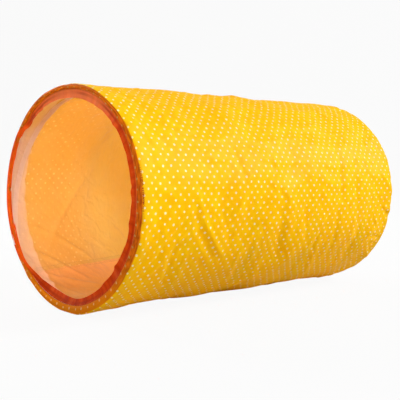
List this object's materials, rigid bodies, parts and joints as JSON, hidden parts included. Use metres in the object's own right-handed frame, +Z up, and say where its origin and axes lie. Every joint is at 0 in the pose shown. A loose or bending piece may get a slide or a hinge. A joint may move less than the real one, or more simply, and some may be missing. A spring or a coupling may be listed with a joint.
{
  "type": "cat tunnel",
  "caption": "Short collapsible cloth tunnel for cats, held open by a hidden spiral spring and a wire hoop in each hemmed mouth.",
  "frame": {"origin": "centre of the base, on the floor under the middle of the tunnel", "axes": "+Z up, X along the tunnel with the pictured mouth at -X"},
  "size_m": [0.45, 0.2488, 0.2488],
  "materials": {
    "cover_cloth": "woven polyester with a printed pin dot",
    "crinkle_film": "thin clear film",
    "lining_cloth": "sheer woven polyester",
    "orange_tape": "gathered woven tape",
    "casing_tape": "woven bias tape",
    "spring_steel": "coated spring wire",
    "sleeve_steel": "plated",
    "cap_plastic": "moulded"
  },
  "bodies": {
    "root": {"outer_cover": "cover_cloth", "crinkle_film": "crinkle_film", "lining": "lining_cloth", "lining_seam_tape": "orange_tape", "spiral_spring": "spring_steel", "spring_casing": "casing_tape", "front_spring_cap": "cap_plastic", "front_hoop": "spring_steel", "front_hoop_sleeve": "sleeve_steel", "front_facing": "orange_tape"},
    "rear_end": {"rear_hoop": "spring_steel", "rear_hoop_sleeve": "sleeve_steel", "rear_facing": "orange_tape", "rear_spring_cap": "cap_plastic"}
  },
  "joints": [
    {"name": "collapse", "type": "slide", "parent": "root", "child": "rear_end", "axis": [-1, 0, 0], "range_m": [0, 0.4], "stiffness_N_per_m": 25, "springref_m": -0.03, "deforming": ["outer_cover", "crinkle_film", "lining", "lining_seam_tape", "spiral_spring", "spring_casing"]}
  ]
}
